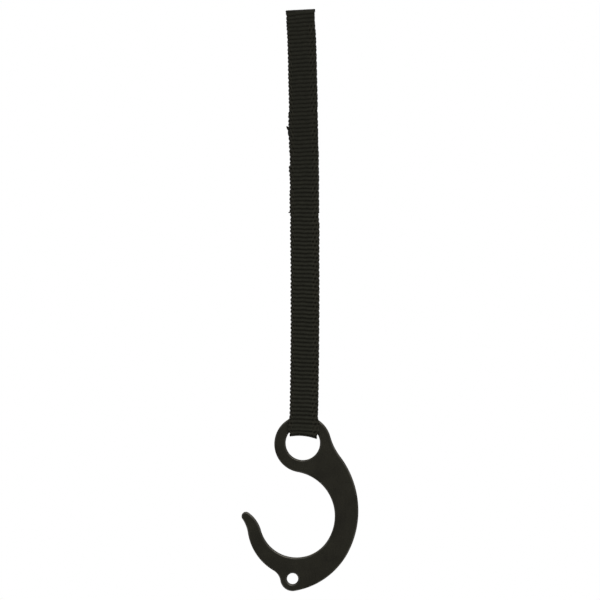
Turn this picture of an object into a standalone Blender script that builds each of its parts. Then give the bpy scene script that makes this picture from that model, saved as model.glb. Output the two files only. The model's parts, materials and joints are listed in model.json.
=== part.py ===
# Fifi hook: a flat aluminium hook plate hanging from a doubled sling of flat nylon webbing.
# Metres, +Z up. The plate lies in the XZ plane, its thickness is along Y and its front face looks to -Y.
# The origin is the inside of the webbing's top fold, where the sling hangs from a carabiner or harness.
import math

import bmesh
import bpy
from mathutils import Vector

# Webbing of the sling
WEB_WIDTH = 0.0160
WEB_THICK = 0.0016
SLING_DROP = 0.2462  # from the inside of the top fold down to the eye's centre
SLIP = 0.0003  # clearance between pieces that touch
HOOK_ASIDE = 0.00135  # the eye's centre lies this far right of the top fold's middle
WEB_ASIDE = 0.00025  # the webbing lies this far right of the eye's centre
WEB_BOW = 0.00175  # how far the hanging webbing bows to the right at half height

# Sewn overlap of the webbing's two ends, on the back strand
JOIN_TOP = 0.0667  # below the origin
JOIN_LENGTH = 0.0481
JOIN_STEP = 0.0140  # height over which the outer layer steps back in below the overlap
TACK_COUNT = 4
TACK_WIDTH = 0.0120
TACK_HEIGHT = 0.0022
TACK_PROUD = 0.0005  # thread standing over the outer layer
TACK_MARGIN = 0.0060  # from each end of the overlap to the nearest tack's middle

# Where the sling flexes, measured down from the origin or up from the eye's centre
FOLD_DROP = 0.0400
TWIST_DROP = 0.1560
TILT_RISE = 0.0450
HINGE_PLAY = 0.00015  # extra room at the mitred ends beside a flex line

# Hook plate, seen from the front, about the eye's centre
PLATE_THICK = 0.0050
EDGE_ROUND = 0.0012
EYE_ROOM = 0.0018  # the eye's radius over half the webbing's width
RIM_WALL = 0.0065
RIM_DROP = 0.00055  # the rim's circle lies this far below the eye's, so the rim is thicker below
NECK_SPACE = 0.0065  # height between the rim's circle and the throat's
THROAT_LEFT = 0.0036
THROAT_RADIUS = 0.02105
SPINE_WALL = 0.0143  # from the throat's circle to the back
ARM_WALL = 0.0071  # from the throat's circle to the nose
BACK_RADIUS = 0.0514
BACK_ABOVE = 0.00575  # centre above the throat's centre
NOSE_RADIUS = 0.0304
NOSE_BELOW = 0.0022  # centre below the throat's centre
TIP_RADIUS = 0.0025
TIP_PROUD = 0.00325  # the tip stands out to the left of the nose
TIP_ABOVE = 0.00255  # centre above the throat's centre
HOLE_RADIUS = 0.0032
HOLE_WALL = 0.00385
HOLE_BELOW = 0.01205  # centre below the throat's floor
HOLE_LEFT = 0.00225  # centre left of the throat's centre
NECK_FILLET = 0.0256
LIP_FILLET = 0.0185
TIP_FILLET = 0.0190
WAIST_FILLET = 0.0081
HEEL_FILLET = 0.0425
SHOULDER_FILLET = 0.0334

# How finely curves are cut
ARC_SAG = 0.00004  # greatest gap between an arc and its chord
ARC_STEP = math.radians(20)  # greatest turn of one chord
EDGE_STEPS = 3
BEND_STEPS = 8
RUN_STEP = 0.013  # greatest length of one facet of a straight strand
NEARLY_STRAIGHT = 2.0  # radius that stands for a straight line
NESTED_SHARE = 0.95  # of the largest fillet that fits between a circle and a larger one round it

# Derived sizes
eye_radius = WEB_WIDTH / 2 + EYE_ROOM
rim_radius = eye_radius + RIM_WALL
throat_x = -THROAT_LEFT
throat_z = -RIM_DROP - rim_radius - NECK_SPACE - THROAT_RADIUS
hole_x = throat_x - HOLE_LEFT
hole_z = throat_z - THROAT_RADIUS - HOLE_BELOW
plate_half = PLATE_THICK / 2
near_y = SLIP + WEB_THICK / 2  # middle of a strand where the two strands lie together
apart_y = plate_half + SLIP + WEB_THICK / 2  # middle of a strand beside the plate
outer_y = near_y + WEB_THICK + SLIP  # middle of the outer layer at the overlap
eye = Vector((HOOK_ASIDE, 0, -SLING_DROP))
rim_top = eye.z - RIM_DROP + rim_radius
join_bottom = JOIN_TOP + JOIN_LENGTH


def clear_scene():
    for item in list(bpy.data.objects):
        bpy.data.objects.remove(item, do_unlink=True)


def make_material(name, colour, roughness, metallic):
    material = bpy.data.materials.new(name)
    material.use_nodes = True
    shader = material.node_tree.nodes["Principled BSDF"]
    shader.inputs["Base Color"].default_value = (*colour, 1)
    shader.inputs["Roughness"].default_value = roughness
    shader.inputs["Metallic"].default_value = metallic
    return material


def make_axis(name, place, parent=None):
    """An empty on a joint's axis, given by its place in the world."""
    axis = bpy.data.objects.new(name, None)
    bpy.context.scene.collection.objects.link(axis)
    axis["place"] = place
    axis.location = Vector(place)
    if parent:
        axis.parent = parent
        axis.location -= Vector(parent["place"])
    return axis


def make_piece(name, mesh, material, axis=None):
    """Links the piece, with its own origin on the axis that carries it."""
    bmesh.ops.recalc_face_normals(mesh, faces=mesh.faces)
    if axis:
        bmesh.ops.translate(mesh, vec=-Vector(axis["place"]), verts=mesh.verts)
    data = bpy.data.meshes.new(name)
    mesh.to_mesh(data)
    mesh.free()
    data.materials.append(material)
    data.shade_smooth()
    data.set_sharp_from_angle(angle=math.radians(40))
    piece = bpy.data.objects.new(name, data)
    bpy.context.scene.collection.objects.link(piece)
    piece.parent = axis
    return piece


# Webbing

def web_x(z):
    """Sideways place of the webbing's middle at a height: from the top fold to the eye, with a slight bow."""
    down = min(max(-z / SLING_DROP, 0), 1)
    return (HOOK_ASIDE + WEB_ASIDE) * down + 4 * WEB_BOW * down * (1 - down)


def ease(t):
    return t * t * (3 - 2 * t)


def run(y, z_from, z_to):
    """Points of a strand that hangs straight, close enough together to follow the bow."""
    count = max(1, math.ceil(abs(z_to - z_from) / RUN_STEP))
    return [(y, z_from + (z_to - z_from) * i / count) for i in range(count + 1)]


def s_bend(y_from, y_to, z_from, z_to):
    """Points of a strand that steps from one depth to another."""
    steps = [i / BEND_STEPS for i in range(BEND_STEPS + 1)]
    return [(y_from + (y_to - y_from) * ease(t), z_from + (z_to - z_from) * t) for t in steps]


def turn(y, z, radius, start, end):
    """Points of a bend about (y, z), from angle start to end in degrees, from +Y towards +Z."""
    angles = [math.radians(start + (end - start) * i / BEND_STEPS) for i in range(BEND_STEPS + 1)]
    return [(y + radius * math.cos(a), z + radius * math.sin(a)) for a in angles]


def ribbon(path, start_cut=None, end_cut=None, bearing=None):
    """A strip of webbing along a path of (y, z), flat across its width.

    A cut gives the height of the end's corners from their depth, for a mitred end. bearing gives how much
    a point is raised from its height and its distance right of the webbing's middle.
    """
    mesh = bmesh.new()
    rows = []
    for i, (y, z) in enumerate(path):
        before = Vector(path[max(i - 1, 0)])
        after = Vector(path[min(i + 1, len(path) - 1)])
        along = (after - before).normalized()
        side = Vector((-along.y, along.x)) * (WEB_THICK / 2)
        middle = web_x(z)
        row = []
        for across, face in ((-1, -1), (1, -1), (1, 1), (-1, 1)):
            offset = across * WEB_WIDTH / 2
            corner_y = y + side.x * face
            corner_z = z + side.y * face
            if i == 0 and start_cut:
                corner_z = start_cut(corner_y)
            if i == len(path) - 1 and end_cut:
                corner_z = end_cut(corner_y)
            if bearing:
                corner_z += bearing(z, offset)
            row.append(mesh.verts.new((middle + offset, corner_y, corner_z)))
        rows.append(row)
    for lower, upper in zip(rows, rows[1:]):
        for k in range(4):
            mesh.faces.new((lower[k], lower[(k + 1) % 4], upper[(k + 1) % 4], upper[k]))
    mesh.faces.new(rows[0])
    mesh.faces.new(reversed(rows[-1]))
    return mesh


def mitre(z, direction):
    """An end cut back at 45 degrees on both sides of a flex line, so the sling can fold to a right angle."""
    return lambda y: z + direction * (abs(y) + HINGE_PLAY)


def level(z):
    return lambda y: z


def cut_slots(piece, centres, width, height):
    """Cuts one slot through a layer of webbing for each bar tack."""
    for i, centre in enumerate(centres):
        bpy.ops.mesh.primitive_cube_add(size=1, location=centre)
        cutter = bpy.context.object
        cutter.name = f"{piece.name}_slot_{i + 1}"
        cutter.scale = (width, WEB_THICK * 3, height)
        cutter.hide_render = True
        cutter.display_type = "WIRE"
        slot = piece.modifiers.new(f"slot_{i + 1}", "BOOLEAN")
        slot.operation = "DIFFERENCE"
        slot.solver = "EXACT"
        slot.object = cutter


def make_top_loop(nylon):
    """The top of the sling: both strands and the fold that hangs on the carabiner."""
    fold = turn(0, -SLIP, near_y, 180, 0)
    path = [*run(-near_y, -FOLD_DROP, -near_y)[:-1], *fold, *run(near_y, -near_y, -FOLD_DROP)[1:]]
    cut = mitre(-FOLD_DROP, 1)
    return make_piece("webbing_top_loop", ribbon(path, cut, cut), nylon)


def make_middle(nylon, thread, axis):
    """The middle of the sling: the front strand, the two sewn ends behind it and their bar tacks."""
    top = mitre(-FOLD_DROP, -1)
    bottom = level(-TWIST_DROP + SLIP / 2)
    front = run(-near_y, -FOLD_DROP, -TWIST_DROP)
    make_piece("webbing_middle_front", ribbon(front, top, bottom), nylon, axis)

    upper_end = run(near_y, -FOLD_DROP, -join_bottom)
    upper = make_piece("webbing_upper_end", ribbon(upper_end, top, level(-join_bottom)), nylon, axis)
    step = s_bend(outer_y, near_y, -join_bottom - SLIP, -join_bottom - JOIN_STEP)
    overlap = run(outer_y, -JOIN_TOP, -join_bottom)
    lower_end = [*overlap, *step, *run(near_y, -join_bottom - JOIN_STEP, -TWIST_DROP)[1:]]
    lower = make_piece("webbing_lower_end", ribbon(lower_end, level(-JOIN_TOP), bottom), nylon, axis)

    spacing = (JOIN_LENGTH - 2 * TACK_MARGIN) / (TACK_COUNT - 1)
    heights = [-JOIN_TOP - TACK_MARGIN - i * spacing for i in range(TACK_COUNT)]
    for piece, depth in ((upper, near_y), (lower, outer_y)):
        cut_slots(piece, [(web_x(z), depth, z) for z in heights], TACK_WIDTH, TACK_HEIGHT)
    for i, z in enumerate(heights):
        make_tack(f"bar_tack_{i + 1}", z, thread, axis)


def make_tack(name, z, thread, axis):
    """A bar tack: thread through both layers, with a pad of zigzag stitches standing over the outer one."""
    mesh = bmesh.new()
    outside = outer_y + WEB_THICK / 2 + SLIP
    leg_x = TACK_WIDTH / 2 - SLIP
    leg_z = TACK_HEIGHT / 2 - SLIP
    pad_x = TACK_WIDTH / 2 + SLIP
    pad_z = TACK_HEIGHT / 2 + SLIP
    rings = (
        (SLIP, leg_x, leg_z),
        (outside, leg_x, leg_z),
        (outside, pad_x, pad_z),
        (outside + TACK_PROUD, leg_x, leg_z),
    )
    rows = []
    for y, half_x, half_z in rings:
        corners = ((-1, -1), (1, -1), (1, 1), (-1, 1))
        rows.append([mesh.verts.new((web_x(z) + sx * half_x, y, z + sz * half_z)) for sx, sz in corners])
    for lower, upper in zip(rows, rows[1:]):
        for k in range(4):
            mesh.faces.new((lower[k], lower[(k + 1) % 4], upper[(k + 1) % 4], upper[k]))
    mesh.faces.new(rows[0])
    mesh.faces.new(reversed(rows[-1]))
    make_piece(name, mesh, thread, axis)


def make_lower(nylon, axis):
    """The two strands between the sewn overlap and the eye."""
    top = level(-TWIST_DROP - SLIP / 2)
    bottom = mitre(eye.z + TILT_RISE, 1)
    for name, y in (("webbing_lower_front", -near_y), ("webbing_lower_back", near_y)):
        path = run(y, -TWIST_DROP, eye.z + TILT_RISE)
        make_piece(name, ribbon(path, top, bottom), nylon, axis)


def make_bight(nylon, axis):
    """The webbing's turn through the eye. It bears on the eye's wall only at its two edges."""
    wall = eye_radius - SLIP
    left = math.sqrt(wall**2 - (WEB_WIDTH / 2 - WEB_ASIDE) ** 2)
    right = math.sqrt(wall**2 - (WEB_WIDTH / 2 + WEB_ASIDE) ** 2)
    slope = (right - left) / WEB_WIDTH
    floor = eye.z + (left + right) / 2 - WEB_THICK / 2
    corner = apart_y - plate_half + WEB_THICK / 4
    meet = eye.z + TILT_RISE
    open_from = rim_top + SLIP
    open_to = meet - WEB_THICK * 3
    down = s_bend(-near_y, -apart_y, open_to, open_from)
    up = s_bend(apart_y, near_y, open_from, open_to)
    front_turn = turn(-apart_y + corner, floor + corner, corner, 180, 270)
    back_turn = turn(apart_y - corner, floor + corner, corner, 270, 360)
    path = [(-near_y, meet), *down, *front_turn, *back_turn, *up, (near_y, meet)]

    def bearing(z, offset):
        return slope * offset * ease(min(max((rim_top - z) / (rim_top - floor), 0), 1))

    cut = mitre(meet, -1)
    make_piece("webbing_bight", ribbon(path, cut, cut, bearing), nylon, axis)


# Hook plate

def fillet(before, after, asked):
    """The circle of the asked radius that touches two circles, each (x, z, radius).

    A radius is positive where the outline bulges and negative where it is hollow. A fillet between a circle and
    a larger one round it is limited to what fits, and circles too far apart for it are joined nearly straight.
    """
    start, end = Vector(before[:2]), Vector(after[:2])
    span = (end - start).length
    nested = span < abs(after[2] - before[2]) and before[2] * after[2] > 0
    fallback = NESTED_SHARE * (span + before[2] + after[2]) / 2 if nested else math.copysign(NEARLY_STRAIGHT, asked)
    for radius in (asked, fallback):
        to_start, to_end = radius - before[2], radius - after[2]
        if abs(to_start) + abs(to_end) >= span >= abs(abs(to_start) - abs(to_end)):
            break
    ahead = (end - start) / span
    along = (to_start**2 - to_end**2 + span**2) / (2 * span)
    aside = math.copysign(math.sqrt(max(to_start**2 - along**2, 0)), to_start * to_end * radius)
    centre = start + ahead * along + Vector((-ahead.y, ahead.x)) * aside
    return (centre.x, centre.y, radius)


def hook_circles():
    """The circles that the outline follows, anticlockwise from the rim, and the fillets between them."""
    nose_x = throat_x - THROAT_RADIUS - ARM_WALL + NOSE_RADIUS
    tip_x = throat_x - THROAT_RADIUS - ARM_WALL - TIP_PROUD + TIP_RADIUS
    back_x = throat_x + THROAT_RADIUS + SPINE_WALL - BACK_RADIUS
    shapes = (
        ((0, -RIM_DROP, rim_radius), -NECK_FILLET),
        ((throat_x, throat_z, -THROAT_RADIUS), LIP_FILLET),
        ((tip_x, throat_z + TIP_ABOVE, TIP_RADIUS), -TIP_FILLET),
        ((nose_x, throat_z - NOSE_BELOW, NOSE_RADIUS), -WAIST_FILLET),
        ((hole_x, hole_z, HOLE_RADIUS + HOLE_WALL), HEEL_FILLET),
        ((back_x, throat_z + BACK_ABOVE, BACK_RADIUS), -SHOULDER_FILLET),
    )
    circles = []
    for i, (circle, radius) in enumerate(shapes):
        following = shapes[(i + 1) % len(shapes)][0]
        circles += [circle, fillet(circle, following, radius)]
    return circles


def arc_steps(radius, sweep):
    """How many chords an arc needs."""
    step = 2 * math.acos(max(1 - ARC_SAG / radius, 0))
    return max(2, math.ceil(abs(sweep) / min(step, ARC_STEP)))


def hook_arcs():
    """The outline as (x, z, radius, start angle, sweep, steps), each arc touching the next."""
    circles = hook_circles()
    touches = []
    for (ax, az, ar), (bx, bz, br) in zip(circles, circles[1:] + circles[:1]):
        normal = Vector((bx - ax, bz - az)) / (br - ar)
        touches.append(Vector((ax, az)) - normal * ar)
    arcs = []
    for i, (x, z, radius) in enumerate(circles):
        start, end = touches[i - 1] - Vector((x, z)), touches[i] - Vector((x, z))
        angle = math.atan2(start.y, start.x)
        sweep = math.atan2(end.y, end.x) - angle
        sweep = sweep % math.tau if radius > 0 else -(-sweep % math.tau)
        arcs.append((x, z, radius, angle, sweep, arc_steps(abs(radius), sweep)))
    return arcs


def hook_outline(arcs, inset):
    """Points of the outline drawn in by inset."""
    points = []
    for x, z, radius, angle, sweep, steps in arcs:
        reach = abs(radius) - inset if radius > 0 else abs(radius) + inset
        for k in range(steps):
            a = angle + sweep * k / steps
            points.append((x + reach * math.cos(a), z + reach * math.sin(a)))
    return points


def hole_outline(x, z, radius, inset):
    """Points of a round hole opened out by inset, clockwise."""
    steps = arc_steps(radius, math.tau)
    angles = [-math.tau * k / steps for k in range(steps)]
    return [(x + (radius + inset) * math.cos(a), z + (radius + inset) * math.sin(a)) for a in angles]


def make_plate(aluminium, axis):
    """The plate, with its rounded edges worked out as a stack of outlines from the front face to the back."""
    mesh = bmesh.new()
    arcs = hook_arcs()
    turns = [i / EDGE_STEPS * math.pi / 2 for i in range(EDGE_STEPS + 1)]
    front = [(EDGE_ROUND * (1 - math.sin(a)), -plate_half + EDGE_ROUND * (1 - math.cos(a))) for a in turns]
    sections = front + [(inset, -depth) for inset, depth in reversed(front)]
    outlines = (
        lambda inset: hook_outline(arcs, inset),
        lambda inset: hole_outline(0, 0, eye_radius, inset),
        lambda inset: hole_outline(hole_x, hole_z, HOLE_RADIUS, inset),
    )
    rims = {0: [], len(sections) - 1: []}
    for outline in outlines:
        loops = []
        for inset, depth in sections:
            loops.append([mesh.verts.new((eye.x + x, depth, eye.z + z)) for x, z in outline(inset)])
        for lower, upper in zip(loops, loops[1:]):
            count = len(lower)
            for k in range(count):
                mesh.faces.new((lower[k], lower[(k + 1) % count], upper[(k + 1) % count], upper[k]))
        for level_number, rim in rims.items():
            loop = loops[level_number]
            rim += [mesh.edges.get((loop[k - 1], loop[k])) for k in range(len(loop))]
    for rim in rims.values():
        bmesh.ops.triangle_fill(mesh, edges=rim, use_beauty=True)
    make_piece("hook_plate", mesh, aluminium, axis)


def main():
    clear_scene()
    nylon = make_material("black_nylon_webbing", (0.015, 0.015, 0.012), 0.8, 0)
    thread = make_material("black_bonded_thread", (0.012, 0.012, 0.012), 0.6, 0)
    aluminium = make_material("black_anodised_aluminium", (0.020, 0.019, 0.014), 0.5, 0.6)

    fold_z, twist_z, tilt_z = -FOLD_DROP, -TWIST_DROP, eye.z + TILT_RISE
    fold_axis = make_axis("sling_fold_axis", (web_x(fold_z), 0, fold_z))
    twist_axis = make_axis("sling_twist_axis", (web_x(twist_z), 0, twist_z), fold_axis)
    tilt_axis = make_axis("hook_tilt_axis", (web_x(tilt_z), 0, tilt_z), twist_axis)
    swing_axis = make_axis("hook_swing_axis", tuple(eye), tilt_axis)

    make_top_loop(nylon)
    make_middle(nylon, thread, fold_axis)
    make_lower(nylon, twist_axis)
    make_bight(nylon, tilt_axis)
    make_plate(aluminium, swing_axis)


main()
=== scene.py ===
# Fifi hook on a sewn nylon sling: the looks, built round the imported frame. Metres, +Z up, front face to -Y.
import json
import math

import bmesh
import bpy
import numpy as np
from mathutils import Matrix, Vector


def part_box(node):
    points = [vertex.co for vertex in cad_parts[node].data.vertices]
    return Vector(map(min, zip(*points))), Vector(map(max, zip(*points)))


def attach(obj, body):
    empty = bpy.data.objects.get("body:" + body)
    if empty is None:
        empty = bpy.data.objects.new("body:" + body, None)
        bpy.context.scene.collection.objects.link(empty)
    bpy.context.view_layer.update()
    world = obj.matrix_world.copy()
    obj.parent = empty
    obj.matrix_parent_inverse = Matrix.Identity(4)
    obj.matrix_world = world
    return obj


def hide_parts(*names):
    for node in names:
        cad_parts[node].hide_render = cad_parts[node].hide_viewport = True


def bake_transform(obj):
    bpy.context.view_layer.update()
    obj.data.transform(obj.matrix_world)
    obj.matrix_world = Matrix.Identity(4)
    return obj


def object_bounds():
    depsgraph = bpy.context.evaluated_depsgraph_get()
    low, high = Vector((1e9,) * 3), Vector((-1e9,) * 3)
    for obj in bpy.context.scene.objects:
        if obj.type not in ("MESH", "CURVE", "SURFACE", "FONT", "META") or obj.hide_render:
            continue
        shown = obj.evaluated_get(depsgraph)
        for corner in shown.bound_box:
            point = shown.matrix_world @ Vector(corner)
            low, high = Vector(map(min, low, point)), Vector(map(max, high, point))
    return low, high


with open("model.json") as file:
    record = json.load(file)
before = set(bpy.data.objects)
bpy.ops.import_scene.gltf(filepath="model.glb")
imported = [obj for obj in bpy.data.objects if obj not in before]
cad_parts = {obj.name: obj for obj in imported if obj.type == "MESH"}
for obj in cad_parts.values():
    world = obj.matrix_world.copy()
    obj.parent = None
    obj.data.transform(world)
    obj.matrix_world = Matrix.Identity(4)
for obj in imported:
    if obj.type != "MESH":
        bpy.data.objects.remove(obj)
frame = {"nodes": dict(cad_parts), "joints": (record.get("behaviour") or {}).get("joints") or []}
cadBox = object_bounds()
jointPlace = {joint["name"]: Vector(joint["pos_m"]) for joint in frame["joints"]}
eye = jointPlace["hook_swing"]
millimetre = 0.001
sharpFrom = 70  # degrees between two faces, from which the edge between them is shaded sharp


def hexColour(code):
    # An sRGB hex value as the linear colour that a socket takes
    channels = [int(code[i:i + 2], 16) / 255 for i in (1, 3, 5)]
    linear = [c / 12.92 if c <= 0.04045 else ((c + 0.055) / 1.055) ** 2.4 for c in channels]
    return (*linear, 1)


def addNode(tree, kind, inputs=None, **settings):
    # Adds a node, sets its own settings, and links or sets its inputs
    node = tree.nodes.new(kind)
    for name, value in settings.items():
        setattr(node, name, value)
    for socket, value in (inputs or {}).items():
        if isinstance(value, bpy.types.NodeSocket):
            tree.links.new(value, node.inputs[socket])
        else:
            node.inputs[socket].default_value = value
    return node


def newMaterial(name):
    material = bpy.data.materials.new(name)
    material.use_nodes = True
    return material, material.node_tree, material.node_tree.nodes["Principled BSDF"]


def ease(t):
    t = np.clip(t, 0, 1)
    return t * t * (3 - 2 * t)


def mix(a, b, t):
    return a + (b - a) * t


def easeBelow(z, start, over):
    # 0 down to a height, and 1 from so far below it
    return ease((start - z) / over)


# Materials. A Mix node's sockets 2 and 3 are its two numbers, 6 and 7 its two colours.

webbingLook = {
    # painted shade: the grooves take this much darker colour, beyond the shade their relief casts
    "grooveShadeColour": "#070602",
    "crestColour": "#21211b",
    "selvageColour": "#23221c",
    "yarnPitch": 0.42,  # mm between warp yarns. The real ones are 0.3 mm apart, too fine to show
    "yarnShade": (0.80, 1.14),  # painted shade between two yarns and painted highlight on top of one
    "stray": (5 / 3, 0.5),  # mm: a yarn strays from its line over such a length, and so far
    "chevron": (0.90, 1.157),  # mm, width and pitch of the yarns that slant across each selvage
    "chevronPlace": 6.4,  # mm from the webbing's middle
    "fibre": 0.16,  # mm, the size of the fibre mottling
    "fibreStretch": 0.35,  # along the webbing it is longer: its scale there is this share
    "patch": 20 / 7,  # mm, the size of paler and darker patches
    "grain": (0.6, 1.4),  # least and most of mottling and patches together
    "grainShade": (0.72, 1.28),
    "roughness": (0.68, 0.88),
    "specular": 0.05,
    "ior": 1.53,
    "sheen": 0.02,
    "sheenRoughness": 0.5,
    "bumpStrength": 0.6,
    "bumpHeight": 0.07,  # mm
}


def wovenNylon():
    # Piece-dyed polyamide webbing: matte black ribs of warp yarns that bend over thick weft cords.
    # The eye sees dark grooves, softly lit crests crossed by fine yarn lines, and no gloss.
    look = webbingLook
    material, tree, shader = newMaterial("woven_nylon_webbing")
    place = addNode(tree, "ShaderNodeUVMap", uv_map="tapeMap").outputs["UV"]
    axes = addNode(tree, "ShaderNodeSeparateXYZ", {"Vector": place}).outputs
    height = addNode(tree, "ShaderNodeAttribute", attribute_name="weaveHeight").outputs["Fac"]
    edge = addNode(tree, "ShaderNodeAttribute", attribute_name="selvage").outputs["Fac"]

    # Warp yarns run along the webbing and stray a little
    strayOver, strayBy = look["stray"]
    stray = addNode(tree, "ShaderNodeTexNoise", {"Vector": place, "Scale": 1 / strayOver, "Detail": 2.0})
    strayed = addNode(tree, "ShaderNodeMath", {
        0: stray.outputs["Fac"], 1: strayBy, 2: axes["X"],
    }, operation="MULTIPLY_ADD")
    turns = addNode(tree, "ShaderNodeMath", {
        0: strayed.outputs[0], 1: math.tau / look["yarnPitch"],
    }, operation="MULTIPLY")
    warp = addNode(tree, "ShaderNodeMath", {0: turns.outputs[0]}, operation="SINE")

    # The selvages' yarns slant from both sides to the selvage's middle
    fromMiddle = addNode(tree, "ShaderNodeMath", {0: axes["X"]}, operation="ABSOLUTE")
    aside = addNode(tree, "ShaderNodeMath", {
        0: fromMiddle.outputs[0], 1: look["chevronPlace"],
    }, operation="SUBTRACT")
    aside = addNode(tree, "ShaderNodeMath", {0: aside.outputs[0]}, operation="ABSOLUTE")
    width, pitch = look["chevron"]
    rise = addNode(tree, "ShaderNodeMath", {0: axes["Y"], 1: math.tau / pitch}, operation="MULTIPLY")
    slant = addNode(tree, "ShaderNodeMath", {
        0: aside.outputs[0], 1: math.tau / width, 2: rise.outputs[0],
    }, operation="MULTIPLY_ADD")
    chevron = addNode(tree, "ShaderNodeMath", {0: slant.outputs[0]}, operation="SINE")
    lines = addNode(tree, "ShaderNodeMix", {
        "Factor": edge, 2: warp.outputs[0], 3: chevron.outputs[0],
    }, data_type="FLOAT")
    yarns = addNode(tree, "ShaderNodeMapRange", {
        "Value": lines.outputs[0], "From Min": -1.0, "From Max": 1.0,
    })

    stretched = addNode(tree, "ShaderNodeVectorMath", {
        0: place, 1: (1.0, look["fibreStretch"], 1.0),
    }, operation="MULTIPLY")
    fibres = addNode(tree, "ShaderNodeTexNoise", {
        "Vector": stretched.outputs[0], "Scale": 1 / look["fibre"], "Detail": 3.0,
    })
    patches = addNode(tree, "ShaderNodeTexNoise", {
        "Vector": place, "Scale": 1 / look["patch"], "Detail": 3.0,
    })

    body = addNode(tree, "ShaderNodeMix", {
        "Factor": edge, 6: hexColour(look["crestColour"]), 7: hexColour(look["selvageColour"]),
    }, data_type="RGBA")
    # Painted shade in the grooves: the colour goes from the dark groove colour to the crest colour with the
    # weave's height
    grooveShaded = addNode(tree, "ShaderNodeMix", {
        "Factor": height, 6: hexColour(look["grooveShadeColour"]), 7: body.outputs[2],
    }, data_type="RGBA")
    grain = addNode(tree, "ShaderNodeMath", {
        0: fibres.outputs["Fac"], 1: patches.outputs["Fac"],
    }, operation="ADD")
    mottled = addNode(tree, "ShaderNodeMapRange", {
        "Value": grain.outputs[0], "From Min": look["grain"][0], "From Max": look["grain"][1],
        "To Min": look["grainShade"][0], "To Max": look["grainShade"][1],
    })
    # Painted shade between the yarns and painted highlight on them, also on the selvages' slanting yarns
    lined = addNode(tree, "ShaderNodeMapRange", {
        "Value": yarns.outputs[0], "To Min": look["yarnShade"][0], "To Max": look["yarnShade"][1],
    })
    shade = addNode(tree, "ShaderNodeMath", {
        0: mottled.outputs[0], 1: lined.outputs[0],
    }, operation="MULTIPLY")
    colour = addNode(tree, "ShaderNodeVectorMath", {
        0: grooveShaded.outputs[2], "Scale": shade.outputs[0],
    }, operation="SCALE")
    tree.links.new(colour.outputs[0], shader.inputs["Base Color"])

    rough = addNode(tree, "ShaderNodeMapRange", {
        "Value": fibres.outputs["Fac"], "To Min": look["roughness"][0], "To Max": look["roughness"][1],
    })
    tree.links.new(rough.outputs[0], shader.inputs["Roughness"])
    relief = addNode(tree, "ShaderNodeMath", {
        0: yarns.outputs[0], 1: fibres.outputs["Fac"],
    }, operation="ADD")
    bump = addNode(tree, "ShaderNodeBump", {
        "Height": relief.outputs[0], "Strength": look["bumpStrength"],
        "Distance": look["bumpHeight"] * millimetre,
    })
    tree.links.new(bump.outputs[0], shader.inputs["Normal"])
    shader.inputs["IOR"].default_value = look["ior"]
    shader.inputs["Specular IOR Level"].default_value = look["specular"]
    shader.inputs["Sheen Weight"].default_value = look["sheen"]
    shader.inputs["Sheen Roughness"].default_value = look["sheenRoughness"]
    return material


threadLook = {
    "colour": "#181713",
    # painted highlight on top of each ply
    "plyLitColour": "#2a2822",
    "roughness": 0.60,
    "specular": 0.12,
    "ior": 1.53,
    "plyPitch": 0.6,  # mm along the thread, over which the plies wind once round
    "plies": 2,
    "bumpStrength": 0.5,
    "bumpHeight": 0.03,  # mm
}


def bondedThread():
    # Bonded nylon sewing thread: a twisted ply under a thin waxy coat.
    # The eye sees a slight gleam on each stitch.
    look = threadLook
    material, tree, shader = newMaterial("bonded_nylon_thread")
    place = addNode(tree, "ShaderNodeUVMap", uv_map="tapeMap").outputs["UV"]
    axes = addNode(tree, "ShaderNodeSeparateXYZ", {"Vector": place}).outputs
    slant = addNode(tree, "ShaderNodeMath", {
        0: axes["Y"], 1: 1 / look["plyPitch"], 2: axes["X"],
    }, operation="MULTIPLY_ADD")
    turns = addNode(tree, "ShaderNodeMath", {
        0: slant.outputs[0], 1: math.tau * look["plies"],
    }, operation="MULTIPLY")
    ply = addNode(tree, "ShaderNodeMath", {0: turns.outputs[0]}, operation="SINE")
    share = addNode(tree, "ShaderNodeMapRange", {
        "Value": ply.outputs[0], "From Min": -1.0, "From Max": 1.0,
    })
    # Painted highlight on the plies and painted shade between them: the colour follows the plies' height
    colour = addNode(tree, "ShaderNodeMix", {
        "Factor": share.outputs[0], 6: hexColour(look["colour"]), 7: hexColour(look["plyLitColour"]),
    }, data_type="RGBA")
    tree.links.new(colour.outputs[2], shader.inputs["Base Color"])
    bump = addNode(tree, "ShaderNodeBump", {
        "Height": share.outputs[0], "Strength": look["bumpStrength"],
        "Distance": look["bumpHeight"] * millimetre,
    })
    tree.links.new(bump.outputs[0], shader.inputs["Normal"])
    shader.inputs["Roughness"].default_value = look["roughness"]
    shader.inputs["IOR"].default_value = look["ior"]
    shader.inputs["Specular IOR Level"].default_value = look["specular"]
    return material


plateLook = {
    "colour": "#151412",
    "paleColour": "#292822",
    # paler worn metal and painted highlight on the rounded edges
    "wearAndHighlightColour": "#4f4d48",
    "grazingColour": "#bcbab4",  # reflected at a grazing angle, where bare metal would turn white
    "grit": 0.60,  # mm between the pits that tumbling leaves
    "gritShare": 1.1,  # how much the pits count beside the clouds
    "cloud": 9.0,  # mm, size of the faint cloudiness of the dye
    "shading": (0.35, 1.55),  # pits and clouds together, from dark to pale
    "wearAndHighlight": (0.20, 0.65),  # edge and clouds together, from none of the wear and painted highlight to the most
    "mostWearAndHighlight": 0.65,
    "rough": (0.6, 1.3),  # pits and clouds together, from smooth to rough
    "roughness": (0.40, 0.52),
    "bumpStrength": 0.25,
    "bumpHeight": 0.02,  # mm
}


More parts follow.
